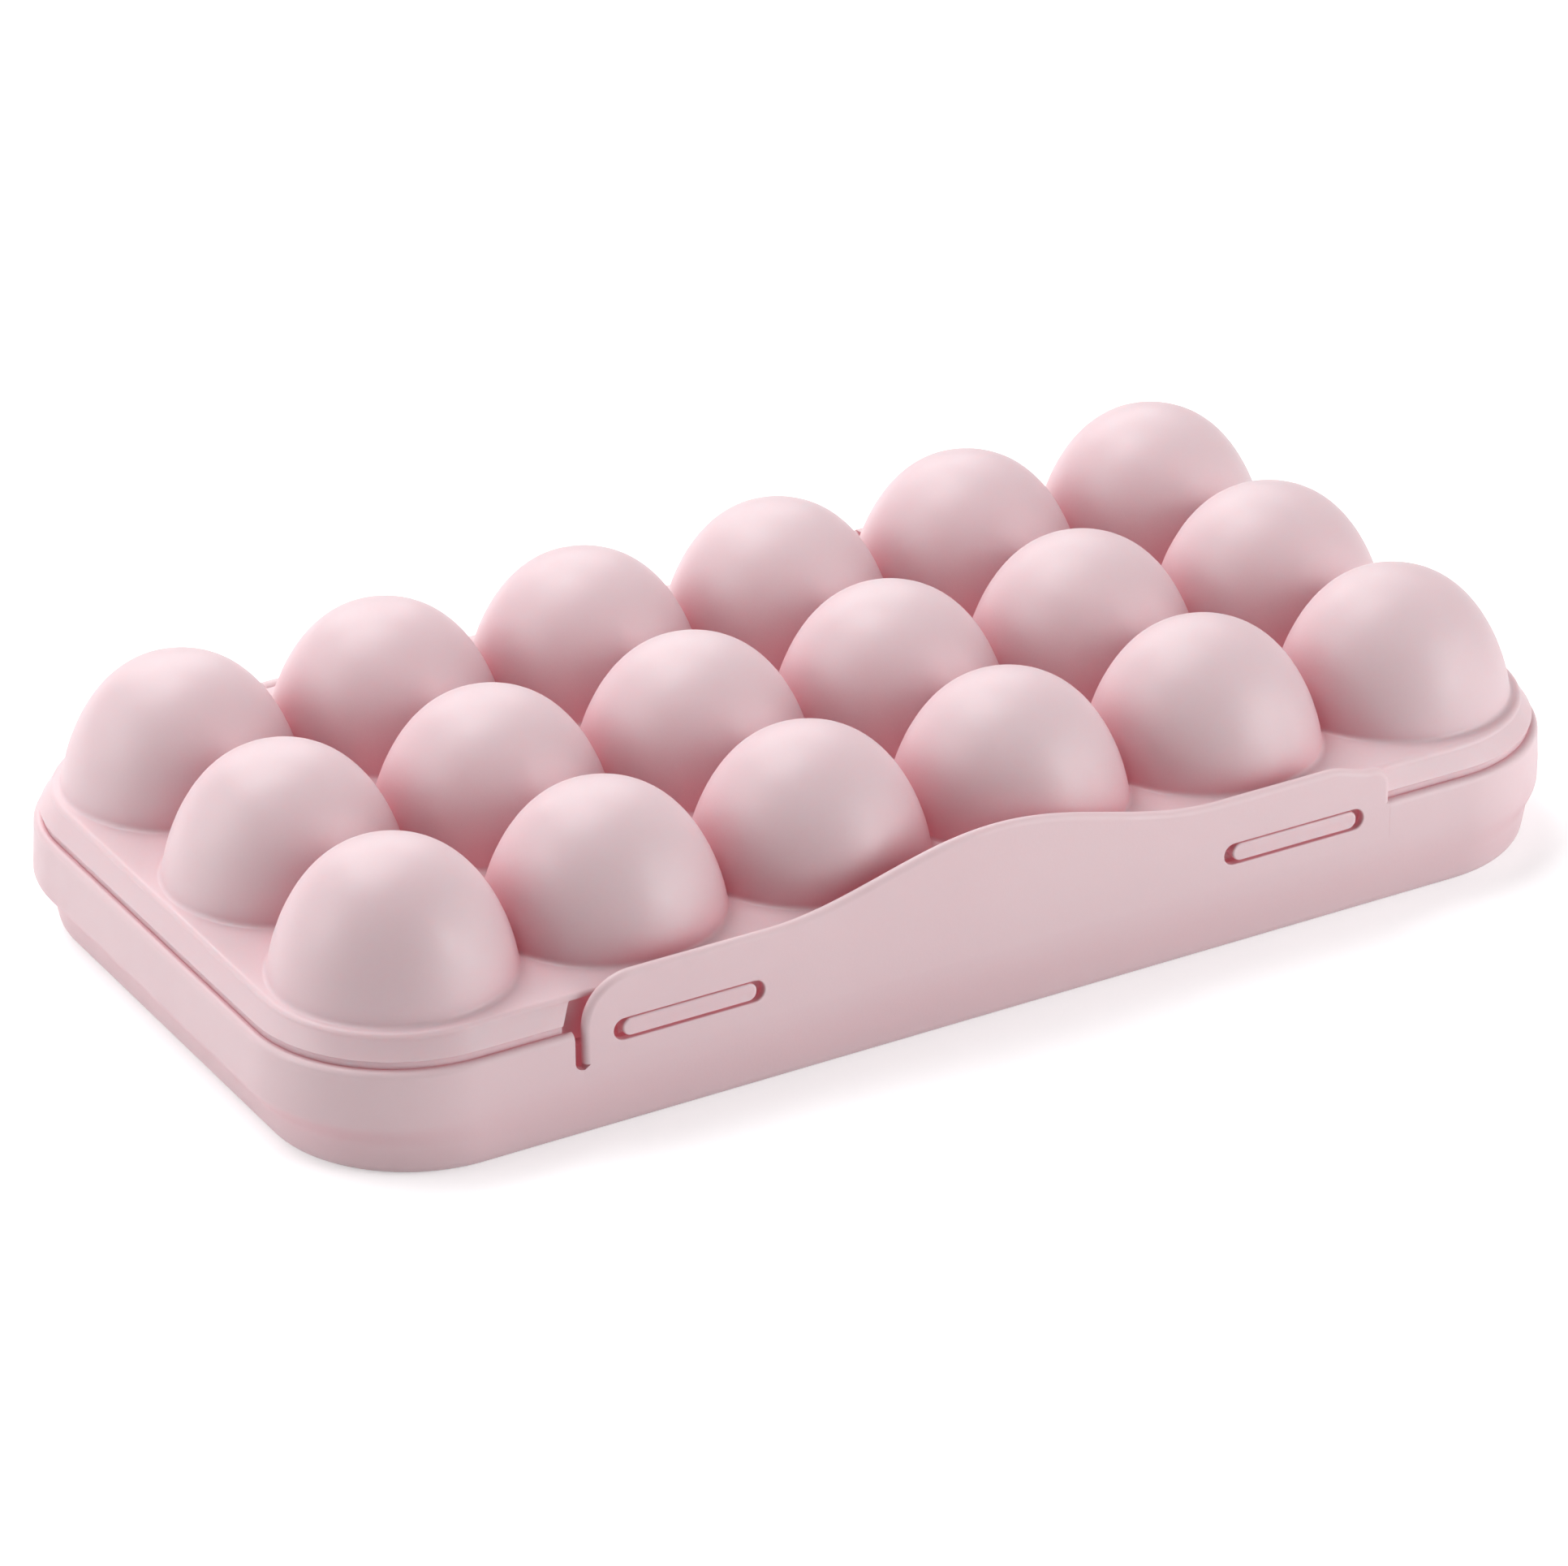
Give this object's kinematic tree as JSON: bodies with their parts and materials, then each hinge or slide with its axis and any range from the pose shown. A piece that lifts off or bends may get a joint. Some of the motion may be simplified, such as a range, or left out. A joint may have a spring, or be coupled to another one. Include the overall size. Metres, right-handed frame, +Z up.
{
  "type": "egg storage box",
  "caption": "Hinged plastic egg box: tray with a drop-in rack of cups, a lid of egg-shaped domes, and a springy slotted latch panel in front.",
  "frame": {"origin": "on the table, under the middle of the egg grid", "axes": "+X along the long side from the left end to the right end as seen from the latch, the latch faces -Y, +Z up"},
  "size_m": [0.3302, 0.1819, 0.0635],
  "materials": {
    "base_tray": "satin pink polypropylene",
    "egg_rack": "satin pink polypropylene",
    "latch_panel": "satin pink polypropylene",
    "lid": "satin pink polypropylene",
    "hinge_pin_left": "satin pink polypropylene",
    "hinge_pin_right": "satin pink polypropylene"
  },
  "bodies": {
    "tray": {"base_tray": "base_tray", "egg_rack": "egg_rack", "hinge_pin_left": "hinge_pin_left", "hinge_pin_right": "hinge_pin_right"},
    "latch": {"latch_panel": "latch_panel"},
    "lid": {"lid": "lid"}
  },
  "joints": [
    {"name": "lid_hinge", "type": "hinge", "parent": "tray", "child": "lid", "pos_m": [0, 0.0911, 0.02755], "axis": [-1, 0, 0], "range_deg": [0, 170]},
    {"name": "latch_flex", "type": "hinge", "parent": "tray", "child": "latch", "pos_m": [0, -0.0865, 0.0176], "axis": [1, 0, 0], "range_deg": [0, 12], "stiffness_Nm_per_rad": 4}
  ]
}
